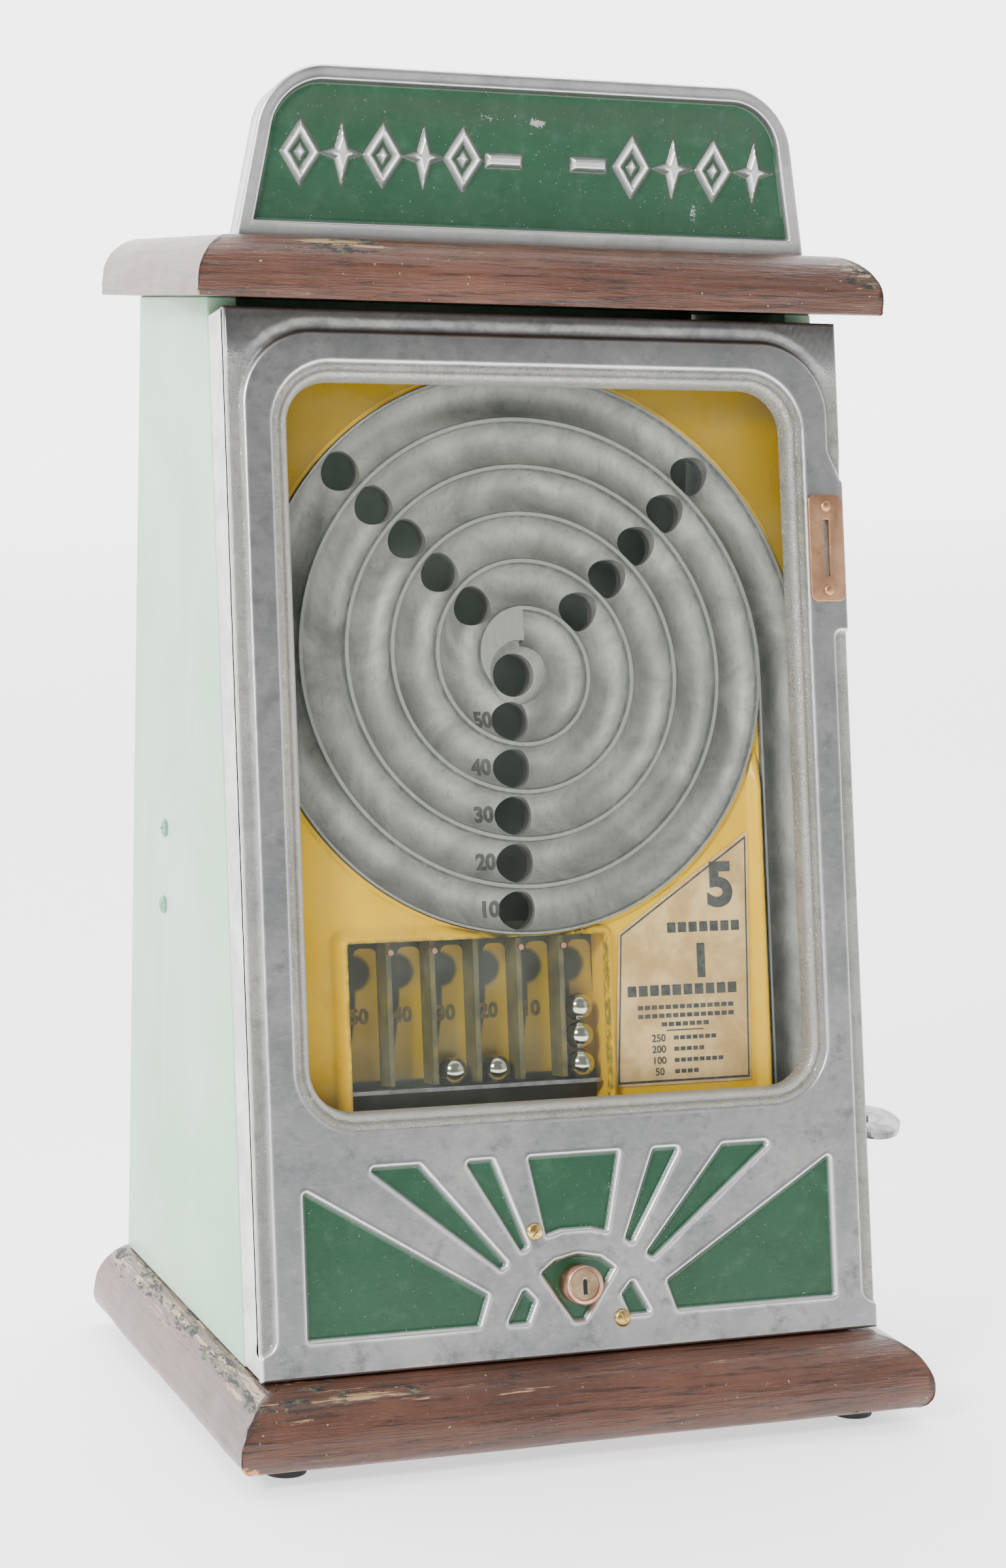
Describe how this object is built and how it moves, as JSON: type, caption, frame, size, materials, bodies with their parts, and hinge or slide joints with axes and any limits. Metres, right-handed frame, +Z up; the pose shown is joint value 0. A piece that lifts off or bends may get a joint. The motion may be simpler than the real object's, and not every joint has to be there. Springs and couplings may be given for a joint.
{
  "type": "countertop spiral ball game",
  "caption": "Countertop penny ball game: sloping cast door with window over a spiral ball track, score columns, lock and coin slot, thumb lever, wooden cabinet, plinth, cap and sign",
  "frame": {"origin": "centre of the footprint at bench level, thumb lever included", "axes": "+Z up, +Y to the back of the cabinet, +X to the side with the thumb lever"},
  "size_m": [0.299, 0.2266, 0.5173],
  "materials": {
    "brown_wood": "worn brown paint",
    "plain_wood": "bare",
    "green_paint": "worn pale green paint",
    "green_paint_metal": "painted",
    "rubber": "matt",
    "steel": "satin",
    "dark_steel": "satin",
    "casting": "worn cast",
    "green_enamel": "gloss enamel",
    "glass": "clear",
    "copper": "worn",
    "brass": "worn",
    "yellow_enamel": "gloss enamel",
    "card": "aged card",
    "ball_steel": "polished",
    "chrome": "polished"
  },
  "bodies": {
    "cabinet": {"base_board": "brown_wood", "cap_board": "brown_wood", "side_panel_left": "green_paint", "side_panel_right": "green_paint", "back_panel": "green_paint", "rubber_feet": "rubber", "foot_screws": "steel", "panel_screws": "green_paint_metal", "lock_strike": "steel", "coin_chute": "steel", "hinge_leaf_cabinet": "steel", "hinge_pins": "steel", "hinge_screws": "steel", "spiral_track": "casting", "playfield_board": "yellow_enamel", "gallery_back": "yellow_enamel", "gallery_dividers": "dark_steel", "gallery_pane": "glass", "gallery_pins": "copper", "score_card": "card", "gate_bracket": "steel", "gate_spring": "steel", "shooter_pin": "steel", "cross_rail": "plain_wood", "lever_stop": "rubber", "shooter_spring": "steel", "spring_anchor": "steel", "playfield_cleats": "plain_wood", "cash_box": "steel", "sign_casting": "casting", "sign_field": "green_enamel", "sign_marks": "casting"},
    "door": {"door_casting": "casting", "door_glass": "glass", "glass_clips": "steel", "enamel_inlays": "green_enamel", "coin_plate": "copper", "coin_screws": "steel", "lock_barrel": "brass", "lock_screws": "brass", "hinge_leaf_door": "steel"},
    "lock": {"lock_plug": "brass", "lock_cam": "steel"},
    "shooter": {"shooter_lever": "chrome"},
    "gate": {"ball_gate": "steel"},
    "ball_30": {"ball_thirty": "ball_steel"},
    "ball_20": {"ball_twenty": "ball_steel"},
    "ball_out": {"balls_out": "ball_steel"}
  },
  "joints": [
    {"name": "door_hinge", "type": "hinge", "parent": "cabinet", "child": "door", "pos_m": [0.12145, -0.04697, 0.14644], "axis": [0, 0.1822, 0.9833], "range_deg": [0, 100]},
    {"name": "lock_turn", "type": "hinge", "parent": "door", "child": "lock", "pos_m": [-0.0085, -0.08562, 0.06085], "axis": [0, 0.9833, -0.1822], "range_deg": [0, 90]},
    {"name": "thumb_lever", "type": "hinge", "parent": "cabinet", "child": "shooter", "pos_m": [0.0415, -0.04027, 0.10249], "axis": [0, 0.9833, -0.1822], "range_deg": [0, 18], "stiffness_Nm_per_rad": 0.6, "springref_deg": -17.19, "deforming": ["shooter_spring"]},
    {"name": "gate_slide", "type": "slide", "parent": "cabinet", "child": "gate", "axis": [0, 0.9833, -0.1822], "range_m": [0, 0.01], "stiffness_N_per_m": 60, "springref_m": -0.006, "deforming": ["gate_spring"]},
    {"name": "ball_30_rise", "type": "slide", "parent": "cabinet", "child": "ball_30", "axis": [0, 0.1822, 0.9833], "range_m": [0, 0.036]},
    {"name": "ball_20_rise", "type": "slide", "parent": "cabinet", "child": "ball_20", "axis": [0, 0.1822, 0.9833], "range_m": [0, 0.036]},
    {"name": "ball_out_rise", "type": "slide", "parent": "cabinet", "child": "ball_out", "axis": [0, 0.1822, 0.9833], "range_m": [0, 0.018]}
  ]
}
